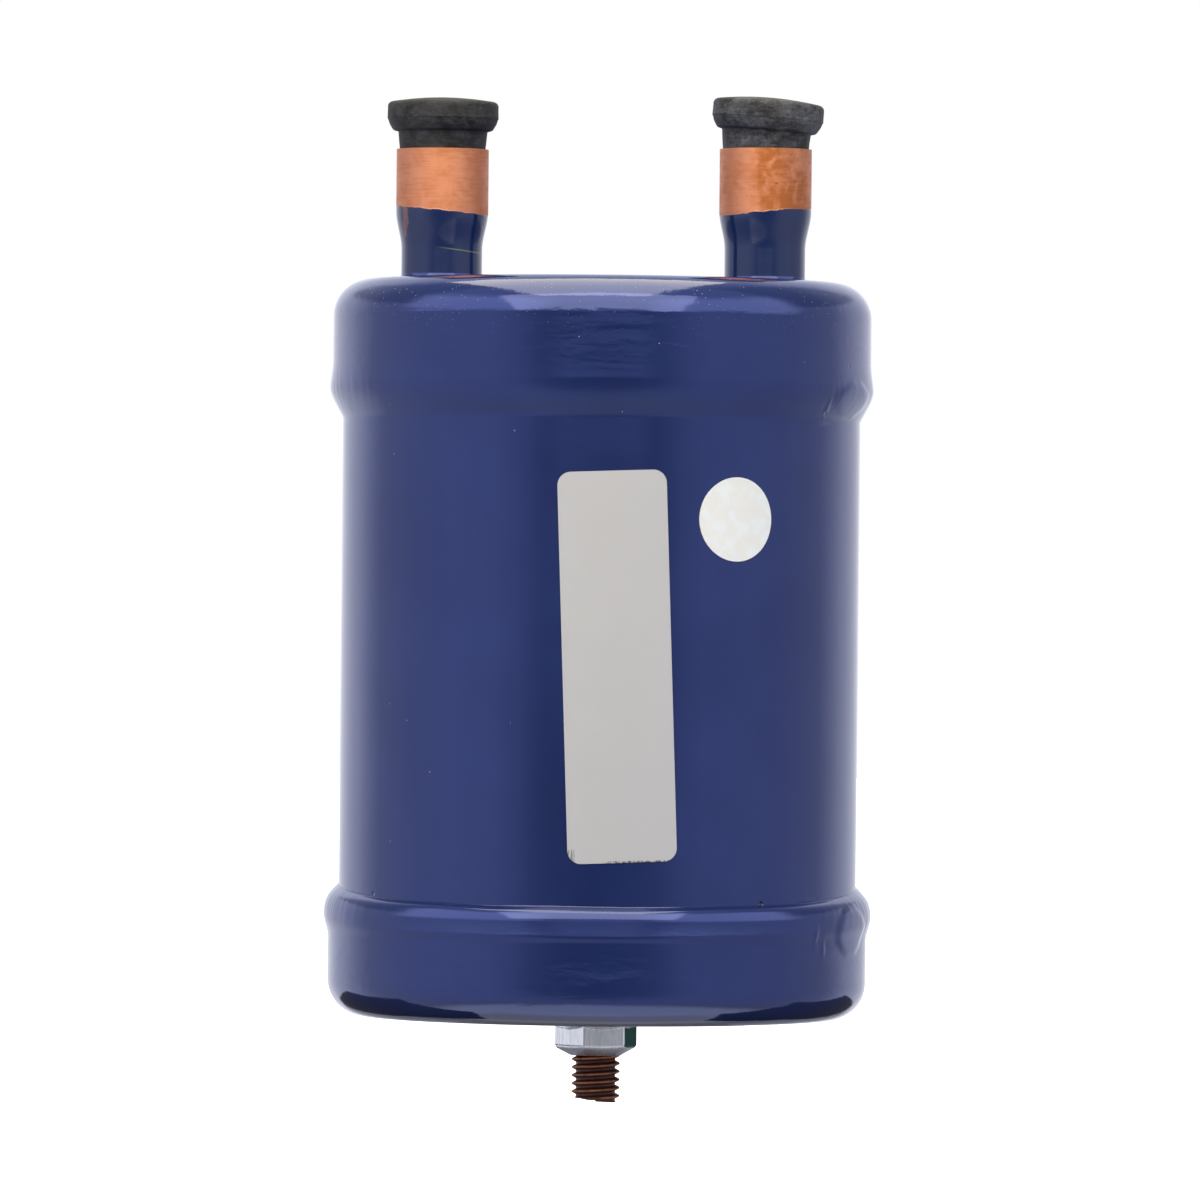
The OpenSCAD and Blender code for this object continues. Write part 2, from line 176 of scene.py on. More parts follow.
class StageSettings(bpy.types.PropertyGroup):
    """Camera, floor and light."""

    distance: length_property("Distance", "From the can's axis to the camera", 2000)
    view_width: length_property("View width", "Width of the picture at the can's axis", 235.9)
    view_height: length_property("View height", "Height of the level camera", 89.45)
    roll: angle_property("Roll", "Roll of the camera", 0.55)
    floor_gap: length_property("Floor gap", "From the stud's tip down to the floor", 22)
    front_radiance: bpy.props.FloatProperty(
        name="Front softbox", description="Radiance of the softbox in front", default=3.1)
    top_radiance: bpy.props.FloatProperty(
        name="Top softbox", description="Radiance of the overhead softbox", default=5.1)


SETTINGS = {
    "accumulator_welds": WeldSettings,
    "accumulator_fasteners": FastenerSettings,
    "accumulator_plugs": PlugSettings,
    "accumulator_colours": FinishColours,
    "accumulator_stage": StageSettings,
}


# Shader maths


class Wire:
    """A node's output; Python operators on it add Math nodes."""

    def __init__(self, sheet, socket):
        self.sheet = sheet
        self.socket = socket

    def maths(self, operation, *values):
        numbers = dict(enumerate(values))
        return self.sheet.add("ShaderNodeMath", {"operation": operation}, numbers)

    def __add__(self, other):
        return self.maths("ADD", self, other)

    def __sub__(self, other):
        return self.maths("SUBTRACT", self, other)

    def __rsub__(self, other):
        return self.maths("SUBTRACT", other, self)

    def __mul__(self, other):
        return self.maths("MULTIPLY", self, other)

    def __pow__(self, other):
        return self.maths("POWER", self, other)

    def __abs__(self):
        return self.maths("ABSOLUTE", self)

    __radd__ = __add__
    __rmul__ = __mul__

    def larger(self, other):
        """Larger of two values."""
        return self.maths("MAXIMUM", self, other)

    def rise(self, start, end):
        """0 below start, 1 above end, smooth between them; an end below the start turns it round."""
        values = {"Value": self, "From Min": start, "From Max": end}
        return self.sheet.add("ShaderNodeMapRange", {"interpolation_type": "SMOOTHSTEP"}, values)


class Sheet:
    """Node tree of one material or world."""

    def __init__(self, tree):
        self.tree = tree
        tree.nodes.clear()

    def add(self, kind, settings=None, values=None, out=0):
        """Adds one node: its settings first, then the values or links of its sockets."""
        node = self.tree.nodes.new(kind)
        for name, value in (settings or {}).items():
            if name == "stops":
                self.set_stops(node.color_ramp, value)
            else:
                setattr(node, name, value)
        for name, value in (values or {}).items():
            if isinstance(value, Wire):
                self.tree.links.new(value.socket, node.inputs[name])
            else:
                node.inputs[name].default_value = value
        return Wire(self, node.outputs[out]) if node.outputs else node

    @staticmethod
    def set_stops(ramp, stops):
        while len(ramp.elements) < len(stops):
            ramp.elements.new(0.5)
        for element, (place, shade) in zip(ramp.elements, stops):
            element.position = place
            element.color = (shade, shade, shade, 1)

    def mix(self, factor, first, second):
        """Mix of two colours."""
        return self.add("ShaderNodeMix", {"data_type": "RGBA"}, {0: factor, 6: first, 7: second}, out=2)

    def place(self):
        """Place on the part, in metres."""
        return self.add("ShaderNodeTexCoord", out="Object")

    def split(self, vector):
        """X, Y and Z of a vector."""
        first = self.add("ShaderNodeSeparateXYZ", None, {"Vector": vector})
        return [Wire(self, socket) for socket in first.socket.node.outputs]

    def stretch(self, vector, x, y, z):
        """A vector times a factor along each axis."""
        return self.add("ShaderNodeVectorMath", {"operation": "MULTIPLY"}, {0: vector, 1: (x, y, z)})

    def distance(self, vector, point):
        """Distance from a point."""
        return self.add("ShaderNodeVectorMath", {"operation": "DISTANCE"}, {0: vector, 1: point}, out="Value")

    def cloud(self, vector, size, detail=2, roughness=0.5, distortion=0):
        """Noise from 0 to 1 with blots of a given size in metres."""
        values = {"Vector": vector, "Scale": 1 / size, "Detail": detail, "Roughness": roughness,
                  "Distortion": distortion}
        return self.add("ShaderNodeTexNoise", None, values)

    def specks(self, vector, spacing, radius, share):
        """Mask of round specks: one in some of the cells of a given spacing."""
        cells = self.add("ShaderNodeTexVoronoi", None, {"Vector": vector, "Scale": 1 / spacing})
        outputs = cells.socket.node.outputs
        chance = self.split(Wire(self, outputs["Color"]))[0]
        size = radius / spacing
        dot = Wire(self, outputs["Distance"]).rise(size, size * 0.6)
        return dot * chance.rise(1 - share, 1 - share + 0.02)

    def bump(self, height):
        """Normal of a relief given in metres."""
        return self.add("ShaderNodeBump", None, {"Height": height, "Distance": 1.0, "Strength": 1.0})


def finish(name, draw):
    """Material whose Principled inputs come from draw(sheet, colours), made once for each name."""
    if name in bpy.data.materials:
        return bpy.data.materials[name]
    material = bpy.data.materials.new(name)
    material.use_nodes = True
    sheet = Sheet(material.node_tree)
    inputs = draw(sheet, bpy.context.scene.accumulator_colours)
    shader = sheet.add("ShaderNodeBsdfPrincipled", None, inputs)
    sheet.add("ShaderNodeOutputMaterial", None, {"Surface": shader})
    return material


# Finishes

# Pits in the paint: turn from the front in degrees, then in millimetres the height
# and how far the pit is off the shell
PAINT_PITS = (
    (65.3, 135.2, 1.7),
    (57.6, 125.9, 0.6),
    (38.4, 31.2, 0.2),
    (37.8, 30.6, 0.4),
    (-58.8, 32, 0),
)
# Where the runs of paint on a cap set in, past its skirt's edge
RUNS_START, RUNS_FULL = 1 * MM, 6 * MM
# Bare copper below the lip of each socket
INLET_BARE, OUTLET_BARE = 12.1 * MM, 12.4 * MM
# Rise of the label's lower edge towards the right
LABEL_SLOPE = 0.025


def on_can(turn, height, radius):
    """Point on the can at a turn from the front, positive to the right."""
    angle = math.radians(turn)
    return Vector((radius * math.sin(angle), -radius * math.cos(angle), height))


def paint_relief(sheet, place):
    """Relief of the thick glossy paint: orange peel, long waves, and runs on the caps."""
    z = sheet.split(place)[2]
    peel = sheet.cloud(place, 1.6 * MM, detail=1) * (0.006 * MM)
    wave = sheet.cloud(place, 16 * MM, detail=1) * (0.09 * MM)
    runs = sheet.cloud(sheet.stretch(place, 1, 1, 5), 20 * MM, detail=2, roughness=0.45, distortion=0.6)
    on_bottom = z.rise(BOTTOM_EDGE - RUNS_START, BOTTOM_EDGE - RUNS_FULL)
    on_top = z.rise(TOP_EDGE + RUNS_START, TOP_EDGE + RUNS_FULL)
    ragged = sheet.cloud(sheet.stretch(place, 1, 1, 2), 6 * MM, detail=3, roughness=0.55, distortion=0.8)
    return peel + wave + (runs * (0.11 * MM) + ragged * (0.04 * MM)) * (on_bottom + on_top)


def blue_paint(sheet, colours):
    """Glossy blue paint with specks of dust and a few pits."""
    place = sheet.place()
    z = sheet.split(place)[2]
    shade = sheet.cloud(place, 22 * MM, detail=3)
    base = sheet.mix(shade.rise(0.3, 0.7), colours.deep_blue, colours.blue)
    dusty = z.rise(CAN_TOP - 14 * MM, CAN_TOP - 2 * MM)
    fine = sheet.specks(place, 4 * MM, 0.13 * MM, 0.3)
    near_tubes = sheet.specks(place, 0.8 * MM, 0.1 * MM, 0.5) * dusty
    specks = fine.larger(near_tubes)
    base = sheet.mix(specks * 0.55, base, colours.dust)
    pits = 0
    for turn, height, off in PAINT_PITS:
        pit = on_can(turn, height * MM, SHELL_R + off * MM)
        pits = sheet.distance(place, pit).rise(0.6 * MM, 0.25 * MM) + pits
    base = sheet.mix(pits, base, colours.pit)
    height = paint_relief(sheet, place) + specks * (0.02 * MM) - pits * (0.25 * MM)
    rough = sheet.cloud(place, 9 * MM, detail=2) * 0.06 + 0.07
    return {
        "Base Color": base,
        "Roughness": rough + specks * 0.3,
        "IOR": 1.95,
        "Specular Tint": (0.35, 0.42, 1, 1),
        "Normal": sheet.bump(height),
    }


def painted_copper(edge, slant, axis_x, browning, scraped):
    """Copper tube dipped in paint up to a slanting edge; a scraped one shows marks in its paint."""

    def draw(sheet, colours):
        place = sheet.place()
        x, y, z = sheet.split(place)
        across = x - axis_x
        wobble = sheet.cloud(place, 3 * MM, detail=2) * (1.1 * MM)
        level = z - across * slant + wobble - 0.55 * MM
        bare = level.rise(edge - 0.12 * MM, edge + 0.12 * MM)
        brushed = sheet.cloud(sheet.stretch(place, 1, 1, 14), 5 * MM, detail=4, roughness=0.65)
        blots = sheet.cloud(place, 4.5 * MM, detail=5, roughness=0.6, distortion=0.4)
        tarnish = (blots * 0.75 + brushed * 0.45).rise(0.48, 0.8)
        spots = sheet.specks(sheet.stretch(place, 1, 1, 1.7), 3.4 * MM, 0.5 * MM, 0.14)
        stained = across.rise(-5 * MM, 1 * MM) * across.rise(11 * MM, 4 * MM) * browning
        stained = stained * blots.rise(0.3, 0.62)
        copper = sheet.mix(tarnish * 0.45 + stained, colours.copper, colours.copper_brown)
        copper = sheet.mix(spots * 0.8, copper, colours.copper_spot)
        thin = sheet.cloud(sheet.stretch(place, 1, 1, 0.2), 2.2 * MM, detail=2)
        paint = sheet.mix(thin.rise(0.35, 0.75), colours.tube_blue, colours.blue)
        if scraped:
            front = y.rise(0, -2 * MM)
            wavy = across + wobble
            run = wavy.rise(-7.1 * MM, -6.8 * MM) * wavy.rise(-6 * MM, -6.3 * MM)
            bare = bare + run * z.rise(edge - 5.6 * MM, edge - 4.6 * MM) * (1 - bare) * front * 0.25
            scratch = abs(z - edge + 7.4 * MM + across * 0.12).rise(0.16 * MM, 0.05 * MM)
            scratch = scratch * across.rise(-2 * MM, 3 * MM) * (1 - bare) * front
            paint = sheet.mix(scratch * 0.6, paint, colours.scratch)
        dents = sheet.cloud(place, 6 * MM) * (0.05 * MM)
        relief = brushed * (0.012 * MM) * bare + (1 - bare) * (0.09 * MM) + dents
        return {
            "Base Color": sheet.mix(bare, paint, copper),
            "Metallic": bare * 0.9,
            "Roughness": 0.12 + bare * (0.36 + tarnish * 0.14),
            "Normal": sheet.bump(relief),
        }

    return draw


def dusty_rubber(dustiness):
    """Black rubber with a grey bloom, rubbed bare in places."""

    def draw(sheet, colours):
        place = sheet.place()
        bloom = sheet.cloud(place, 5 * MM, detail=6, roughness=0.65, distortion=0.3)
        grain = sheet.cloud(place, 0.5 * MM, detail=3)
        smears = sheet.cloud(sheet.stretch(place, 1, 1, 3), 2.2 * MM, detail=4, roughness=0.7)
        dust = (bloom * 0.7 + smears * 0.45).rise(0.42, 0.78)
        wet = sheet.specks(sheet.stretch(place, 1, 1, 1.6), 4.2 * MM, 0.9 * MM, 0.3)
        dust = dust * (1 - wet * 0.75) * (grain * 1.6 + 0.2)
        return {
            "Base Color": sheet.mix(dust * dustiness, colours.rubber, colours.rubber_dust),
            "Roughness": 0.55 + dust * 0.3,
            "IOR": 1.33,
            "Specular IOR Level": 0.3,
            "Normal": sheet.bump(grain * (0.03 * MM) + bloom * (0.08 * MM)),
        }

    return draw


def zinc_plate(sheet, colours):
    """Bright zinc with drawn streaks along the flats."""
    place = sheet.place()
    z = sheet.split(place)[2]
    streaks = sheet.cloud(sheet.stretch(place, 1, 1, 0.06), 0.45 * MM, detail=3, roughness=0.6)
    cloudy = sheet.cloud(place, 3 * MM, detail=3)
    dull = (streaks * 0.6 + cloudy * 0.4).rise(0.35, 0.75)
    return {
        "Base Color": sheet.mix(dull, colours.zinc, colours.zinc_cloud),
        "Metallic": 1.0,
        "Roughness": streaks * 0.1 + z.rise(1.9 * MM, 0.8 * MM) * 0.25 + 0.13,
        "Normal": sheet.bump(streaks * (0.012 * MM)),
    }


def copper_washed_steel(sheet, colours):
    """Dark coppery thread, rubbed lighter on its crests."""
    place = sheet.place()
    x, y, _ = sheet.split(place)
    radius = (x * x + y * y) ** 0.5
    crest_r = bpy.context.scene.accumulator_fasteners.thread_d / 2
    rubbed = radius.rise(crest_r - 0.35 * MM, crest_r - 0.02 * MM)
    grime = sheet.cloud(place, 1.4 * MM, detail=4, roughness=0.65)
    base = sheet.mix(rubbed * grime.rise(0.25, 0.6), colours.stud_dark, colours.stud_crest)
    return {
        "Base Color": base,
        "Metallic": 0.55,
        "Roughness": 0.34 + grime * 0.25,
        "Normal": sheet.bump(grime * (0.05 * MM)),
    }


def label_film(sheet, colours):
    """Bare silver-white film, scuffed along its lower edge and scratched at its left corner."""
    place = sheet.place()
    x, _, z = sheet.split(place)
    grain = sheet.cloud(place, 0.35 * MM, detail=2)
    smudge = sheet.cloud(place, 9 * MM, detail=3, roughness=0.6)
    base = sheet.mix(smudge.rise(0.4, 0.75) * 0.35, colours.film, colours.film_smudge)
    base = sheet.mix(grain.rise(0.55, 0.8) * 0.12, base, colours.film_grain)
    over_edge = z - x * LABEL_SLOPE - LABEL_LOW
    wear = sheet.cloud(sheet.stretch(place, 1, 1, 0.6), 0.5 * MM, detail=3, roughness=0.7)
    low_edge = over_edge.rise(1.1 * MM, 0.3 * MM) * x.rise(-5 * MM, 3 * MM)
    scratch = sheet.cloud(sheet.stretch(place, 1, 1, 0.12), 0.45 * MM, detail=2, roughness=0.6)
    left_corner = over_edge.rise(5.5 * MM, 2.5 * MM) * x.rise(-3.9 * MM, -4.6 * MM)
    scuffs = (wear * low_edge).rise(0.42, 0.52) + (scratch * left_corner).rise(0.46, 0.54) * 0.7
    return {
        "Base Color": sheet.mix(scuffs * 0.85, base, colours.scuff),
        "Metallic": 0.3,
        "Roughness": 0.38 + grain * 0.12,
        "Normal": sheet.bump(smudge * (0.06 * MM) + grain * (0.002 * MM)),
    }


def pearl_film(sheet, colours):
    """Pearly film with a painted sheen: its faint play of colour and the glints of its bright flakes are
    painted into its colour.
    """
    place = sheet.place()
    play = sheet.cloud(place, 3.2 * MM, detail=3, distortion=0.8)
    flakes = sheet.cloud(place, 0.4 * MM, detail=2)
    # Painted sheen: bluish and pinkish play, then bright flake glints, mixed into the film's colour
    tint = sheet.mix(play.rise(0.4, 0.65), colours.pearl, colours.pearl_sheen_blue)
    tint = sheet.mix(play.rise(0.6, 0.8) * 0.5, tint, colours.pearl_sheen_pink)
    tint = sheet.mix(flakes.rise(0.6, 0.8) * 0.25, tint, colours.pearl_glint_flake)
    return {
        "Base Color": tint,
        "Metallic": 0.15,
        "Roughness": 0.26 + flakes * 0.12,
        "Normal": sheet.bump(play * (0.03 * MM)),
    }


def worked_metal(colour_name, size):
    """Bare worked metal with fine drawing marks."""

    def draw(sheet, colours):
        place = sheet.place()
        colour = getattr(colours, colour_name)
        marks = sheet.cloud(sheet.stretch(place, 1, 1, 8), size, detail=3, roughness=0.6)
        stains = sheet.cloud(place, 8 * MM, detail=3)
        dull = tuple(channel * 0.6 for channel in colour[:3]) + (1,)
        return {
            "Base Color": sheet.mix(stains.rise(0.4, 0.7) * 0.6, colour, dull),
            "Metallic": 1.0,
            "Roughness": 0.3 + marks * 0.2,
            "Normal": sheet.bump(marks * (0.01 * MM)),
        }

    return draw


def dull_card(colour_name):
    """Dull card that only mirrors show, used for painted shadow and painted reflections."""

    def draw(sheet, colours):
        grain = sheet.cloud(sheet.place(), 5 * MM)
        return {"Base Color": getattr(colours, colour_name), "Roughness": 0.85 + grain * 0.1}

    return draw


def pale_floor(sheet, colours):
    """Plain pale floor with a faint grain."""
    grain = sheet.cloud(sheet.place(), 40 * MM, detail=2)
    near = tuple(channel * 0.985 for channel in colours.floor[:3]) + (1,)
    return {
        "Base Color": sheet.mix(grain, near, colours.floor),
        "Roughness": 0.9 + grain * 0.05,
        "Emission Color": colours.floor_glow,
        "Emission Strength": 1.0,
    }


# Meshes


def ring_mesh(name, rings, closed=False):
    """Mesh through a stack of rings; a closed stack joins its ends, another is capped."""
    count = len(rings[0])
    points = np.concatenate(rings)
    rows = len(rings) if closed else len(rings) - 1
    faces = []
    for row in range(rows):
        start = row * count
        above = (row + 1) % len(rings) * count
        for i in range(count):
            after = (i + 1) % count
            faces.append((start + i, start + after, above + after, above + i))
    if not closed:
        last = (len(rings) - 1) * count
        faces.append(tuple(range(count - 1, -1, -1)))
        faces.append(tuple(range(last, last + count)))
    mesh = bpy.data.meshes.new(name)
    mesh.from_pydata(points.tolist(), [], faces)
    mesh.polygons.foreach_set("use_smooth", [True] * len(faces))
    mesh.validate()
    return mesh


def add_piece(name, mesh, material, node, sharp=35):
    """Object that stands for a node and rides on the part."""
    mesh.materials.append(material)
    mesh.set_sharp_from_angle(angle=math.radians(sharp))
    piece = bpy.data.objects.new(name, mesh)
    bpy.context.scene.collection.objects.link(piece)
    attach(piece, "root")
    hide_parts(node)


def dress(material, *nodes):
    """Gives the solids of some nodes a finish."""
    for node in nodes:
        for slot in NODES[node].material_slots:
            slot.material = material


def fillet(corners, step=math.radians(15)):
    """Points along a half section whose corners (r, z, radius) are rounded."""
    path = []
    for i, (r, z, radius) in enumerate(corners):
        here = Vector((r, z))
        if radius == 0 or i in (0, len(corners) - 1):
            path.append(here)
            continue
        back = (Vector(corners[i - 1][:2]) - here).normalized()
        ahead = (Vector(corners[i + 1][:2]) - here).normalized()
        half = back.angle(ahead) / 2
        reach = radius / math.tan(half)
        centre = here + (back + ahead).normalized() * (radius / math.sin(half))
        start = here + back * reach - centre
        end = here + ahead * reach - centre
        turn = math.pi - 2 * half
        if start.x * end.y < start.y * end.x:
            turn = -turn
        steps = max(2, round(abs(turn) / step))
        for k in range(steps + 1):
            path.append(centre + Matrix.Rotation(turn * k / steps, 2) @ start)
    return path


def soft_min(first, second, rounding):
    """Smaller of two lengths, with a rounded change between them."""
    share = np.clip(0.5 + 0.5 * (second - first) / rounding, 0, 1)
    return second + (first - second) * share - rounding * share * (1 - share)


def soft_max(first, second, rounding):
    """Larger of two lengths, with a rounded change between them."""
    return -soft_min(-first, -second, rounding)


def smooth(share):
    """Smooth step of a share from 0 to 1."""
    return share * share * (3 - 2 * share)


def even_angles(count):
    """Angles of the points of a ring."""
    return np.arange(count) * 2 * np.pi / count


def flat_ring(angles, radius, z):
    """Ring of points about the axis; radius and z are lengths or one length for each angle."""
    height = np.broadcast_to(z, angles.shape)
    return np.stack((radius * np.cos(angles), radius * np.sin(angles), height), axis=1)


def turned(path, count):
    """Rings of a lathed half section."""
    angles = even_angles(count)
    return [flat_ring(angles, r, z) for r, z in path]


# Weld beads

WELD_STEPS = 1080
BEAD_ROWS = 50
SHELL_ROWS = 14
# Where a bead's mesh starts on the cap and ends on the shell, past the skirt's edge
BEAD_START, BEAD_END = -10 * MM, 8 * MM
# How far a bead stands over the cap, and how far its skin dips into the shell past its toe
COVER, TOE_DIP = 0.01 * MM, 0.05 * MM
# How deep the hidden side of a bead's mesh lies in the shell and in the cap, and its step at the edge
IN_SHELL, IN_CAP, EDGE_STEP = 0.3 * MM, 0.4 * MM, 0.1 * MM
ROLL_ROUNDING = 0.9 * MM
# Ripples: their height, their middle past the edge, their reach and the length that bends them
RIPPLE_HEIGHT, RIPPLE_MIDDLE, RIPPLE_REACH, RIPPLE_BOW = 0.014 * MM, 0.9 * MM, 3.6 * MM, 3.2 * MM
# Blob where a bead's end laps its start: turn from the front in degrees, then in millimetres
# the place past the skirt's edge, half the length, half the width and the height
TOP_OVERLAP = (69, 2.2, 10.5, 4.3, 0.24)
BOTTOM_OVERLAP = (69, -3.2, 9, 5.4, 0.26)
# Lumps on a bead: turn from the front in degrees, then in millimetres the place
# past the skirt's edge, the height, the length and the width
TOP_LUMPS = (
    (54, 6.8, 0.24, 5.0, 0.5),
    (57.5, 3.6, 0.12, 0.6, 1.8),
)
BOTTOM_LUMPS = (
    (52.5, 3.1, 0.2, 3.0, 0.5),
    (53, -3.6, 0.12, 0.5, 2.2),
    (56, -6.4, 0.12, 0.5, 1.6),
)


def bead_height(place, peak, crest, lap, bend, toe, steepness, crease, face=0, slope=0):
    """Height of a bead over the shell, at places across it that run from the cap to past its toe."""
    step = CAP_R - SHELL_R
    widest = peak - face
    swell = 0.5 * (1 + np.cos(np.pi * np.clip((widest - place) / (widest + lap), 0, 1)))
    roll = step + COVER + crest * swell - np.clip(place - peak, 0, None) ** 2 / (2 * bend)
    roll = roll - slope * np.clip(place - widest, 0, None)
    flank = (toe - place) * steepness
    bead = soft_min(roll, flank, ROLL_ROUNDING)
    return soft_max(bead, np.full_like(bead, -TOE_DIP), crease)


def front_to_side(around, front, side):
    """Size of a bead between its front and its sides."""
    return front + (side - front) * min(1, abs(around) / math.radians(90)) ** 2.5


def top_section(sizes, around, uneven):
    """Section of the top bead: a low swelling over a long flank, steeper at the sides."""
    return {
        "peak": 1.2 * MM,
        "crest": front_to_side(around, sizes.flat_crest, sizes.top_crest) * (1 + 0.3 * uneven),
        "lap": 5.5 * MM,
        "bend": 9 * MM,
        "toe": sizes.top_toe + 0.2 * MM * uneven,
        "steepness": front_to_side(around, 0.4, 0.54),
        "crease": 0.2 * MM,
    }


def bottom_section(sizes, around, uneven):
    """Section of the bottom bead, which is thick at its sides and has a sloping face at the front."""
    return {
        "peak": -0.75 * MM,
        "crest": front_to_side(around, sizes.front_crest, sizes.side_crest) * (1 + 0.12 * uneven),
        "lap": front_to_side(around, 5.2, 5.7) * MM,
        "bend": front_to_side(around, 4.6, 6.8) * MM,
        "toe": front_to_side(around, sizes.front_toe, sizes.side_toe) + 0.15 * MM * uneven,
        "steepness": front_to_side(around, 2.3, 1.1),
        "face": front_to_side(around, 2.9, 0) * MM,
        "slope": front_to_side(around, 0.07, 0),
        "crease": 0.03 * MM,
    }


def offset(arc, place, turn, past, length, width):
    """Offsets along and across a bead from a spot on it, as shares of the spot's length and width."""
    along = (arc - math.radians(turn) * CAP_R) / (length * MM)
    return along, (place - past * MM) / (width * MM)


def overlap_height(arc, place, overlap, quick):
    """Height of the blob of weld at a place along and across the bead: a dish with a raised rim."""
    turn, past, length, width, tall = overlap
    off = np.hypot(*offset(arc, place, turn, past, length, width)) * (1 + 0.12 * quick)
    inside = np.clip((1 - off) / 0.45, 0, 1)
    rim = np.exp(-((off - 0.75) / 0.12) ** 2)
    return tall * MM * (smooth(inside) + 0.18 * rim)


def ripple_height(arc, place, around, quick, spacing):
    """Height of the ripples of a bead, which are strongest at its sides."""
    window = np.exp(-((place - RIPPLE_MIDDLE) / RIPPLE_REACH) ** 2)
    at_sides = 0.1 + 0.9 * min(1, abs(around) / math.radians(75)) ** 4
    phase = arc / spacing + (place / RIPPLE_BOW) ** 2 * 0.35 + 0.8 * quick
    return RIPPLE_HEIGHT * at_sides * window * np.sin(2 * np.pi * phase)


def weld_ring(name, edge, side, section, overlap, lumps, seed):
    """Uneven lap weld round the can: side is -1 for a bead below its skirt's edge, 1 for one above it."""
    sizes = bpy.context.scene.accumulator_welds
    rings = []
    for k in range(WELD_STEPS):
        angle = 2 * math.pi * k / WELD_STEPS
        around = math.remainder(angle, 2 * math.pi)
        arc = around * CAP_R
        ring = Vector((math.cos(angle), math.sin(angle), seed))
        quick = noise.noise(ring * 14)
        shape = section(sizes, around, noise.noise(ring * 3) + 0.2 * quick)
        end = shape["toe"] + TOE_DIP / shape["steepness"]
        on_shell = np.linspace(end, BEAD_END, SHELL_ROWS + 1)[1:]
        place = np.concatenate((np.linspace(BEAD_START, end, BEAD_ROWS), on_shell))
        height = bead_height(place, **shape)
        height = height + ripple_height(arc, place, around, quick, sizes.ripple)
        on_bead = np.clip(height / (0.4 * MM), 0, 1)
        height = height + overlap_height(arc, place, overlap, quick) * on_bead
        for turn, past, tall, length, width in lumps:
            along, over = offset(arc, place, turn, past, length, width)
            height = height + tall * MM * np.exp(-along ** 2 - over ** 2)
        hidden_r = [SHELL_R - IN_SHELL] * 2 + [CAP_R - IN_CAP] * 2
        radius = np.concatenate((SHELL_R + height, hidden_r))
        z = edge + side * np.concatenate((place, [place[-1], EDGE_STEP, -EDGE_STEP, place[0]]))
        rings.append(np.stack((radius * math.sin(angle), -radius * math.cos(angle), z), axis=1))
    if side > 0:
        rings = [ring[::-1] for ring in rings]
    return ring_mesh(name, rings, closed=True)


# Stud and nut

THREAD_TURN_STEPS = 96
THREAD_PITCH_STEPS = 20
NUT_STEPS = 288
# Shares of the pitch: depth of the thread, depth of the line where stud and nut mesh,
# and start and end of a flank from the middle of its crest
THREAD_DEPTH, MESH_DEPTH = 0.56, 0.3248
FLANK_START, FLANK_END = 0.07, 0.38
# The worn tip, in millimetres: its middle over the stud's end, its slant and its wear
TIP_RISE, TIP_SLANT, TIP_WEAR = 0.6, 0.42, 0.25
# Shares of the tip's radius at which its face has a ring
TIP_RINGS = (0.0, 0.35, 0.7, 0.86)
STUD_HEAD_HEIGHT, STUD_HEAD_CHAMFER = 3 * MM, 0.3 * MM


def stud_mesh(name):
    """Stud with a rolled right-hand thread, a worn tip and its head inside the can."""
    sizes = bpy.context.scene.accumulator_fasteners
    pitch = sizes.pitch
    crest_r = sizes.thread_d / 2
    root_depth = THREAD_DEPTH * pitch
    angles = even_angles(THREAD_TURN_STEPS)
    wear = np.array([noise.noise(Vector((math.cos(a) * 1.7, math.sin(a) * 1.7, 5))) for a in angles])
    tip = STUD_TIP + (TIP_RISE - TIP_SLANT * np.cos(angles) + TIP_WEAR * wear) * MM
    rows = round(-STUD_TIP / pitch * THREAD_PITCH_STEPS)
    tip_r = crest_r - sizes.tip_chamfer
    rings = [flat_ring(angles, share * tip_r, tip + 0.05 * MM * (1 - share)) for share in TIP_RINGS]
    for row in range(rows + 1):
        z = tip - tip * row / rows
        phase = np.mod(z / pitch - angles / (2 * np.pi), 1)
        off_crest = np.minimum(phase, 1 - phase)
        fall = np.clip((off_crest - FLANK_START) / (FLANK_END - FLANK_START), 0, 1)
        fall = smooth(fall) * 0.35 + fall * 0.65
        r = crest_r * (1 + 0.006 * wear) - root_depth * fall
        rings.append(flat_ring(angles, soft_min(r, tip_r + (z - tip), 0.25 * MM), z))
    shank_r = crest_r - MESH_DEPTH * pitch
    head_floor = STUD_HEAD - STUD_HEAD_HEIGHT
    rim_r = STUD_HEAD_R - STUD_HEAD_CHAMFER
    rings += turned([
        (shank_r, 0.02 * MM),
        (shank_r, head_floor),
        (rim_r, head_floor),
        (STUD_HEAD_R, head_floor + STUD_HEAD_CHAMFER),
        (STUD_HEAD_R, STUD_HEAD - STUD_HEAD_CHAMFER),
        (rim_r, STUD_HEAD),
        (0.1 * MM, STUD_HEAD)], THREAD_TURN_STEPS)
    return ring_mesh(name, rings)


# The nut's bore: clearance on the stud's mesh line and countersink
BORE_CLEARANCE, COUNTERSINK = 0.03 * MM, 0.45 * MM
# The nut's taper: width of the foot round the bore, height, and rounding where the flats start
FOOT_WIDTH, TAPER_HEIGHT, TAPER_ROUNDING = 0.72 * MM, 1.6 * MM, 1 * MM
# The nut's collar: how far it stands over the corners, height of the cone below it and its rounding
COLLAR_OVERHANG, COLLAR_CONE, COLLAR_ROUNDING = 0.06 * MM, 0.55 * MM, 0.25 * MM
SIDE_ROWS = 28


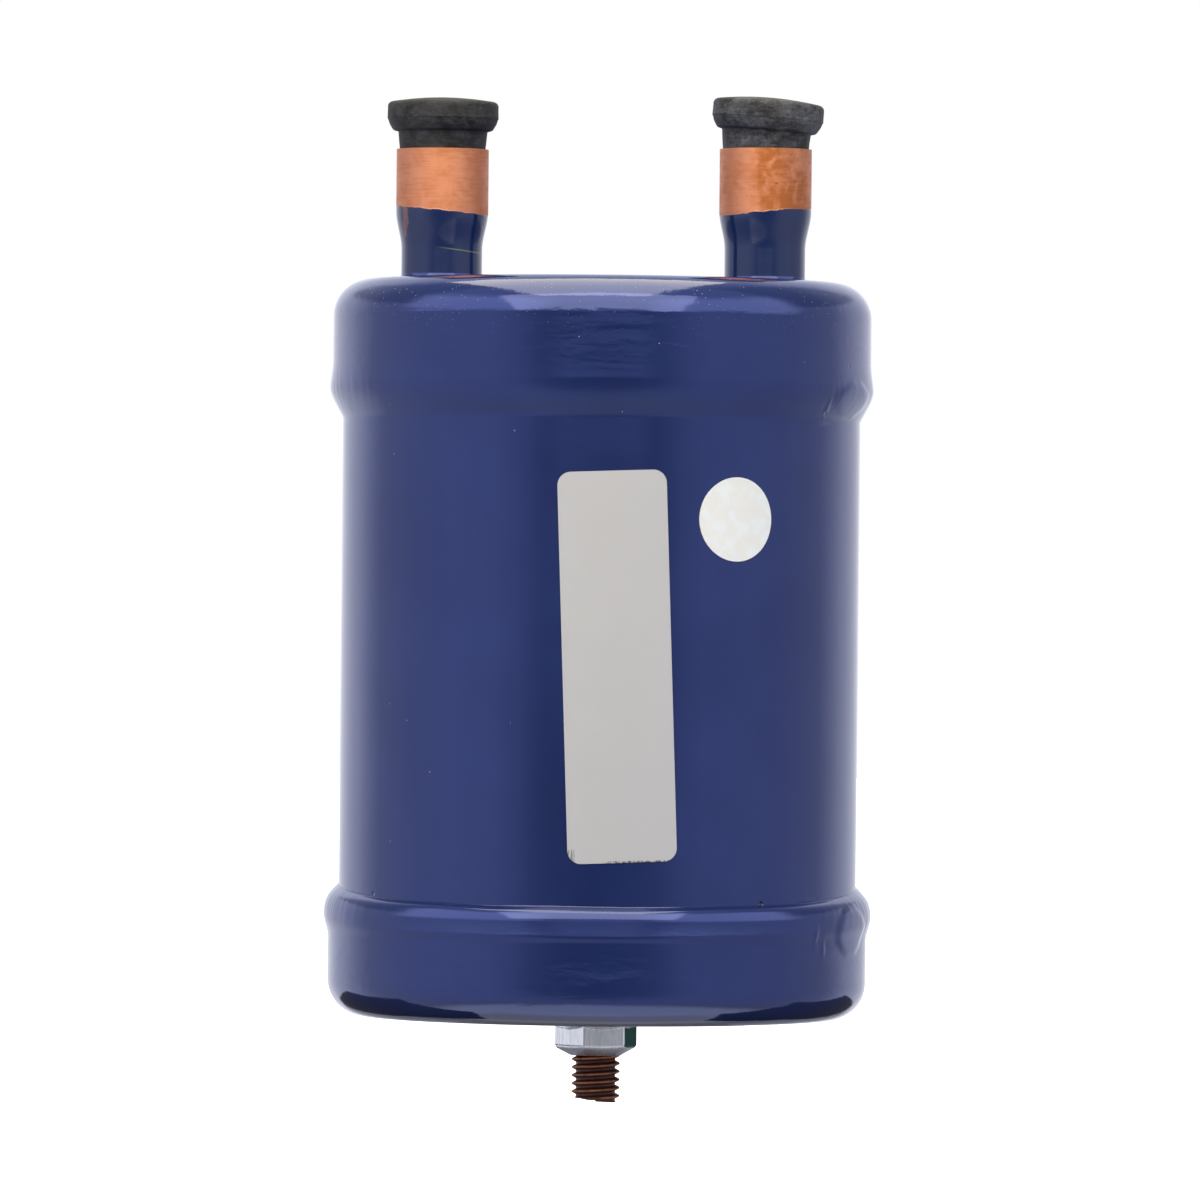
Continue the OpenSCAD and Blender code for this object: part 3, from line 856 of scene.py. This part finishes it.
def nut_mesh(name):
    """Hex nut with a tapered lower end, a round collar above and softly rounded edges."""
    sizes = bpy.context.scene.accumulator_fasteners
    angles = even_angles(NUT_STEPS)
    flat = sizes.nut_flats / 2
    far, facing = 1.0, 0.3
    hexagon = np.full(NUT_STEPS, far)
    for side in range(6):
        off = np.cos(angles - sizes.nut_turn - math.radians(30 + 60 * side))
        reach = np.where(off > facing, flat / np.maximum(off, facing), far)
        hexagon = soft_min(hexagon, reach, 0.1 * MM)
    corner_r = flat / math.cos(math.radians(30))
    collar_r = corner_r + COLLAR_OVERHANG
    collar_z = NUT_TOP - sizes.collar
    bore_r = sizes.thread_d / 2 - MESH_DEPTH * sizes.pitch + BORE_CLEARANCE
    foot_r = bore_r + FOOT_WIDTH
    widest_r = corner_r + 0.1 * MM
    outside = fillet([
        (bore_r + COUNTERSINK, 0, 0),
        (foot_r, 0, 0.1 * MM),
        (widest_r, TAPER_HEIGHT, TAPER_ROUNDING),
        (widest_r, collar_z, 0)])
    rings = turned([(bore_r, COUNTERSINK), tuple(outside[0])], NUT_STEPS)
    cone = flat - collar_r
    heights = np.linspace(outside[-2].y, collar_z + 0.2 * MM, SIDE_ROWS)
    side_rows = [(p.x, p.y) for p in outside[1:-1]] + [(widest_r, z) for z in heights[1:]]
    for r, z in side_rows:
        share = min(1, (r - foot_r) / (widest_r - foot_r))
        hexed = r * (1 + (hexagon / widest_r - 1) * share)
        widening = np.full(NUT_STEPS, collar_r + cone * (collar_z - z) / COLLAR_CONE)
        spread = np.minimum(soft_max(hexed, widening, 0.12 * MM), collar_r)
        rings.append(flat_ring(angles, spread, z))
    rings += turned([
        (collar_r, NUT_TOP - COLLAR_ROUNDING),
        (collar_r - 0.08 * MM, NUT_TOP - 0.08 * MM),
        (collar_r - COLLAR_ROUNDING, NUT_TOP),
        (bore_r, NUT_TOP)], NUT_STEPS)
    return ring_mesh(name, rings, closed=True)


# Rubber plugs

PLUG_STEPS = 160
PLUG_ROW = 0.45 * MM
# Radii of a plug's stem at its end and its top, of its neck from the socket's lip up, and of the ledge
STEM_END_R, STEM_TOP_R = 7.9 * MM, 7.93 * MM
NECK_FOOT_R, NECK_R, NECK_TOP_R = 8.42 * MM, 8.55 * MM, 8.75 * MM
LEDGE_R = 9.75 * MM
# Heights over the neck's top where the head's underside ends and where its rim starts and is full
UNDERSIDE, RIM_START, RIM_FULL = 1.4 * MM, 2.3 * MM, 2.45 * MM
# Moulded unevenness: size of the waves and their height, coarse and fine
COARSE_WAVE, COARSE_HEIGHT = 5 * MM, 0.09 * MM
FINE_WAVE, FINE_HEIGHT = 1.6 * MM, 0.03 * MM


def plug_mesh(name, axis_x, lip, lean, seed):
    """Moulded plug: stem in the socket, neck, and a head with a rim, all bent over by its lean."""
    sizes = bpy.context.scene.accumulator_plugs
    head = sizes.head_r
    neck = sizes.neck
    edge = sizes.height - sizes.crown
    profile = fillet([
        (0.2 * MM, -sizes.insert, 0),
        (STEM_END_R, -sizes.insert, 1.2 * MM),
        (STEM_TOP_R, -0.03 * MM, 0),
        (NECK_FOOT_R, 0.02 * MM, 0.12 * MM),
        (NECK_R, 1.4 * MM, 0.5 * MM),
        (NECK_TOP_R, neck - 0.1 * MM, 0.25 * MM),
        (LEDGE_R, neck + 0.12 * MM, 0.9 * MM),
        (head - 0.42 * MM, neck + UNDERSIDE, 2.5 * MM),
        (head - 0.12 * MM, neck + RIM_START, 0.1 * MM),
        (head, neck + RIM_FULL, 0.2 * MM),
        (head - 0.05 * MM, edge + 0.05 * MM, 1 * MM),
        (head * 0.8, edge + sizes.crown * 0.36, 0)])
    for share in (0.6, 0.4, 0.2, 0.02):
        profile.append(Vector((head * share, edge + sizes.crown * (1 - share ** 2))))
    dense = []
    for first, second in zip(profile, profile[1:]):
        steps = max(1, math.ceil((second - first).length / PLUG_ROW))
        dense += [first.lerp(second, k / steps) for k in range(steps)]
    dense.append(profile[-1])
    rings = turned([tuple(point) for point in dense], PLUG_STEPS)
    bend = neck / lean if lean else 0
    for ring in rings:
        for i, (x, y, z) in enumerate(ring):
            point = Vector((x, y, z))
            if z > 0:
                spot = Vector((x, y, z + seed))
                uneven = noise.noise(spot / COARSE_WAVE) * COARSE_HEIGHT
                uneven += noise.noise(spot / FINE_WAVE) * FINE_HEIGHT
                point += Vector((x, y, 0)).normalized() * uneven
                if lean:
                    part = lean * min(z / neck, 1)
                    foot = Vector((bend * (1 - math.cos(part)), 0, bend * math.sin(part)))
                    past = Vector((point.x, point.y, max(0, point.z - neck)))
                    point = foot + Euler((0, part, 0)).to_matrix() @ past
            ring[i] = point + Vector((axis_x, 0, lip))
    return ring_mesh(name, rings)


# Operators


class ACCUMULATOR_OT_can(bpy.types.Operator):
    """Paint the shell, the caps and the braze fillets"""

    bl_idname = "accumulator.can"
    bl_label = "Paint can"

    def execute(self, context):
        paint = finish("can_paint", blue_paint)
        dress(paint, "shell", "top_cap", "bottom_cap", "inlet_braze", "outlet_braze")
        return {"FINISHED"}


class ACCUMULATOR_OT_welds(bpy.types.Operator):
    """Build the two uneven weld beads"""

    bl_idname = "accumulator.welds"
    bl_label = "Build welds"

    def execute(self, context):
        paint = finish("can_paint", blue_paint)
        top = weld_ring(
            "top_bead", TOP_EDGE, -1, top_section, TOP_OVERLAP, TOP_LUMPS, seed=0)
        add_piece("top_bead", top, paint, "top_weld", sharp=80)
        bottom = weld_ring(
            "bottom_bead", BOTTOM_EDGE, 1, bottom_section, BOTTOM_OVERLAP, BOTTOM_LUMPS, seed=7)
        add_piece("bottom_bead", bottom, paint, "bottom_weld", sharp=80)
        return {"FINISHED"}


class ACCUMULATOR_OT_tubes(bpy.types.Operator):
    """Give the tubes bare copper sockets over painted necks"""

    bl_idname = "accumulator.tubes"
    bl_label = "Finish tubes"

    def execute(self, context):
        inlet = painted_copper(
            edge=INLET_LIP - INLET_BARE, slant=-0.1, axis_x=INLET_X, browning=0.1, scraped=True)
        outlet = painted_copper(
            edge=OUTLET_LIP - OUTLET_BARE, slant=0.09, axis_x=OUTLET_X, browning=1.0, scraped=False)
        dress(finish("inlet_copper", inlet), "inlet_tube")
        dress(finish("outlet_copper", outlet), "outlet_tube")
        return {"FINISHED"}


class ACCUMULATOR_OT_plugs(bpy.types.Operator):
    """Build the rubber shipping plugs"""

    bl_idname = "accumulator.plugs"
    bl_label = "Build plugs"

    def execute(self, context):
        lean = context.scene.accumulator_plugs.lean
        inlet = plug_mesh("inlet_stopper", INLET_X, INLET_LIP, lean=0, seed=0)
        clean = finish("clean_rubber", dusty_rubber(dustiness=0.4))
        add_piece("inlet_stopper", inlet, clean, "inlet_plug", sharp=60)
        outlet = plug_mesh("outlet_stopper", OUTLET_X, OUTLET_LIP, lean=lean, seed=1)
        dusty = finish("dusty_rubber", dusty_rubber(dustiness=0.9))
        add_piece("outlet_stopper", outlet, dusty, "outlet_plug", sharp=60)
        return {"FINISHED"}


class ACCUMULATOR_OT_fasteners(bpy.types.Operator):
    """Build the threaded stud and the nut"""

    bl_idname = "accumulator.fasteners"
    bl_label = "Build stud and nut"

    def execute(self, context):
        wash = finish("stud_wash", copper_washed_steel)
        add_piece("threaded_stud", stud_mesh("threaded_stud"), wash, "mounting_stud")
        zinc = finish("nut_plating", zinc_plate)
        add_piece("stud_nut", nut_mesh("stud_nut"), zinc, "hex_nut", sharp=50)
        return {"FINISHED"}


class ACCUMULATOR_OT_labels(bpy.types.Operator):
    """Finish the two bare labels"""

    bl_idname = "accumulator.labels"
    bl_label = "Finish labels"

    def execute(self, context):
        dress(finish("bare_label", label_film), "data_label")
        dress(finish("bare_sticker", pearl_film), "round_label")
        return {"FINISHED"}


class ACCUMULATOR_OT_inside(bpy.types.Operator):
    """Finish the pieces inside the can"""

    bl_idname = "accumulator.inside"
    bl_label = "Finish inside"

    def execute(self, context):
        steel = finish("pressed_steel", worked_metal("steel", 1.5 * MM))
        dress(steel, "inlet_deflector", "leg_brace", "oil_screen", "screen_ring", "stud_weld")
        dress(finish("turned_brass", worked_metal("brass", 0.6 * MM)), "oil_orifice")
        return {"FINISHED"}


# Stage, in metres

# Softboxes: X of both, then for each its Y and Z, its tilt in degrees, its width and its length
SOFTBOX_X = -0.05
FRONT_SOFTBOX = ((-0.715, 0.63), 55, 1.26, 0.74)
TOP_SOFTBOX = ((-0.1, 0.85), 0, 0.64, 1.0)
# Height of the cards under the can, and X and Y along the edges of the black ones at its sides, which paint
# the shadow seen in the can's bottom corners
CARD_Z = -0.012
CARD_INNER = ((0.027, -0.033), (0.046, -0.008), (0.066, 0.05), (0.08, 0.078))
CARD_OUTER = ((0.036, -0.043), (0.08, -0.024), (0.118, 0.05), (0.13, 0.072))
# The grey card under the nut, a painted reflection of the shaded floor in the nut's taper: half its width,
# its front and its back
GREY_HALF, GREY_FRONT, GREY_BACK = 0.03, -0.024, 0.05
# The green card behind the nut, a painted reflection that darkens the nut's right facet: X and Y of its ends,
# and its lower and upper edge
GREEN_ENDS = ((0.03, 0.013), (0.013, 0.025))
GREEN_LOW, GREEN_HIGH = -0.006, 0.007
# Brightness of the room's walls, from the camera's side (0) to the side behind the can (1)
WALL_STOPS = (
    (0, 0.13), (0.05, 0.32), (0.1, 0.62), (0.16, 0.76),
    (0.31, 0.78), (0.48, 0.7), (0.71, 0.68), (0.85, 1.08),
)
ROOM_TINT = (0.99, 1.01, 1.12, 1)
LOW_TINT = (1, 0.96, 0.76, 1)
WHITE = (1, 1, 1, 1)


def edge_points(points, z, side=1):
    """Points (x, y) of a card's edge at one height, mirrored in X where side is -1."""
    return [(side * x, y, z) for x, y in points]


def flat_piece(name, points, faces, material):
    """Floor or card of the stage."""
    mesh = bpy.data.meshes.new(name)
    mesh.from_pydata(points, [], faces)
    mesh.materials.append(material)
    piece = bpy.data.objects.new(name, mesh)
    bpy.context.scene.collection.objects.link(piece)
    return piece


class ACCUMULATOR_OT_stage(bpy.types.Operator):
    """Set the floor, the light and the camera"""

    bl_idname = "accumulator.stage"
    bl_label = "Set stage"

    def execute(self, context):
        stage = context.scene.accumulator_stage
        colours = context.scene.accumulator_colours
        self.lay_floor(stage)
        self.hang_softbox(context, "front_softbox", FRONT_SOFTBOX, stage.front_radiance, colours.front_light)
        self.hang_softbox(context, "top_softbox", TOP_SOFTBOX, stage.top_radiance, colours.top_light)
        self.hang_painted_sheets()
        self.light_room(context)
        self.aim_camera(context, stage)
        context.scene.view_settings.view_transform = "Standard"
        return {"FINISHED"}

    def lay_floor(self, stage):
        """Pale floor that neither lights the part nor shows in its gloss."""
        front, back, side = -1.2, 5.0, 4.0
        ends = ((-side, front), (side, front), (side, back), (-side, back))
        corners = edge_points(ends, STUD_TIP - stage.floor_gap)
        floor = flat_piece("floor", corners, [(0, 1, 2, 3)], finish("pale_floor", pale_floor))
        floor.visible_diffuse = False
        floor.visible_glossy = False

    def hang_painted_sheet(self, name, first, second, card):
        """Card between two edges, which only mirrors show: a painted shadow or a painted reflection."""
        count = len(first)
        faces = [(i, i + 1, count + i + 1, count + i) for i in range(count - 1)]
        flag = flat_piece(name, first + second, faces, finish(card, dull_card(card)))
        flag.visible_camera = False
        flag.visible_diffuse = False
        flag.visible_shadow = False

    def hang_painted_sheets(self):
        """Black cards at both sides for painted shadow, a grey one under the nut and a green one behind it
        for painted reflections.
        """
        # Painted shadow: black cards that only the can's bottom corners mirror, in place of the table's shade
        # under the can
        for name, side in (("left_flag", -1), ("right_flag", 1)):
            inner = edge_points(CARD_INNER, CARD_Z, side)
            outer = edge_points(CARD_OUTER, CARD_Z, side)
            self.hang_painted_sheet(name, inner, outer, "black_card")
        # Painted reflection: grey card that only the nut's taper mirrors, in place of the shaded floor under
        # the can
        grey_edge = ((GREY_HALF, GREY_FRONT), (GREY_HALF, GREY_BACK))
        left = edge_points(grey_edge, CARD_Z, -1)
        right = edge_points(grey_edge, CARD_Z)
        self.hang_painted_sheet("under_flag", left, right, "grey_card")
        # Painted reflection: green card that only the nut's right facet mirrors, darkening it
        low = edge_points(GREEN_ENDS, GREEN_LOW)
        high = edge_points(GREEN_ENDS, GREEN_HIGH)
        self.hang_painted_sheet("nut_flag", low, high, "green_card")

    def hang_softbox(self, context, name, softbox, radiance, colour):
        """Rectangular light that the camera doesn't see."""
        place, tilt, width, length = softbox
        light = bpy.data.lights.new(name, "AREA")
        light.shape = "RECTANGLE"
        light.size = width
        light.size_y = length
        light.energy = radiance * math.pi * width * length
        light.color = colour[:3]
        lamp = bpy.data.objects.new(name, light)
        lamp.location = (SOFTBOX_X, *place)
        lamp.rotation_euler = (math.radians(tilt), 0, 0)
        lamp.visible_camera = False
        context.scene.collection.objects.link(lamp)

    def light_room(self, context):
        """Room that lights the part and shows in its gloss, white to the camera."""
        world = bpy.data.worlds.new("studio")
        context.scene.world = world
        world.use_nodes = True
        sheet = Sheet(world.node_tree)
        x, y, z = sheet.split(sheet.add("ShaderNodeTexCoord", out="Generated"))
        walls = sheet.add("ShaderNodeValToRGB", {"stops": WALL_STOPS}, {"Fac": (y + 1) * 0.5})
        walls = sheet.add("ShaderNodeRGBToBW", None, {"Color": walls}) * (1 - x * 0.1)
        behind = y.rise(-0.05, 0.12)
        below = z.rise(-0.2, -0.3) * abs(x).rise(0.5, 0.3) * behind
        beside = z.rise(0.25, 0.35) * abs(x).rise(0.35, 0.5) * behind
        ahead = y.rise(-0.9, -0.98) * z.rise(-0.03, 0.05) * 0.4
        off_middle = abs(x).rise(0.25, 0.55) * 0.8 + 0.3
        fill = z.rise(0.08, 0.2) * z.rise(0.75, 0.55) * y.rise(0.2, -0.1) * off_middle
        card_below = z.rise(-0.68, -0.82) * (1.25 - y.rise(-0.2, 0.5) * 0.6)
        seen = sheet.add("ShaderNodeLightPath", out="Is Camera Ray")
        room = walls * (1 - below * 0.58) * (1 - beside * 0.5) + ahead + fill + card_below
        tint = sheet.mix(z.rise(-0.5, -0.75), ROOM_TINT, LOW_TINT)
        colour = sheet.mix(seen, tint, WHITE)
        values = {"Color": colour, "Strength": room * (1 - seen) + seen}
        background = sheet.add("ShaderNodeBackground", None, values)
        sheet.add("ShaderNodeOutputWorld", None, {"Surface": background})

    def aim_camera(self, context, stage):
        """Level camera in front of the can, rolled a little."""
        lens = bpy.data.cameras.new("camera")
        lens.lens = lens.sensor_width * stage.distance / stage.view_width
        lens.clip_end = 20
        camera = bpy.data.objects.new("camera", lens)
        camera.location = (0, -stage.distance, stage.view_height)
        level = Matrix.Rotation(math.pi / 2, 4, "X") @ Matrix.Rotation(stage.roll, 4, "Z")
        camera.rotation_euler = level.to_euler()
        context.scene.collection.objects.link(camera)
        context.scene.camera = camera


class ACCUMULATOR_PT_panel(bpy.types.Panel):
    """Steps of the accumulator's dressing"""

    bl_idname = "ACCUMULATOR_PT_panel"
    bl_label = "Accumulator"
    bl_space_type = "VIEW_3D"
    bl_region_type = "UI"
    bl_category = "Accumulator"

    def draw(self, context):
        for operator in OPERATORS:
            self.layout.operator(operator.bl_idname)
        for name, group in SETTINGS.items():
            box = self.layout.box()
            settings = getattr(context.scene, name)
            for prop in group.__annotations__:
                box.prop(settings, prop)


OPERATORS = (
    ACCUMULATOR_OT_can,
    ACCUMULATOR_OT_welds,
    ACCUMULATOR_OT_tubes,
    ACCUMULATOR_OT_plugs,
    ACCUMULATOR_OT_fasteners,
    ACCUMULATOR_OT_labels,
    ACCUMULATOR_OT_inside,
    ACCUMULATOR_OT_stage,
)


def register():
    for group in SETTINGS.values():
        bpy.utils.register_class(group)
    for operator in OPERATORS:
        bpy.utils.register_class(operator)
    bpy.utils.register_class(ACCUMULATOR_PT_panel)
    for name, group in SETTINGS.items():
        setattr(bpy.types.Scene, name, bpy.props.PointerProperty(type=group))


def unregister():
    for name in SETTINGS:
        delattr(bpy.types.Scene, name)
    bpy.utils.unregister_class(ACCUMULATOR_PT_panel)
    for operator in reversed(OPERATORS):
        bpy.utils.unregister_class(operator)
    for group in SETTINGS.values():
        bpy.utils.unregister_class(group)


def main():
    register()
    bpy.ops.accumulator.can()
    bpy.ops.accumulator.welds()
    bpy.ops.accumulator.tubes()
    bpy.ops.accumulator.plugs()
    bpy.ops.accumulator.fasteners()
    bpy.ops.accumulator.labels()
    bpy.ops.accumulator.inside()
    bpy.ops.accumulator.stage()


if __name__ == "__main__":
    main()
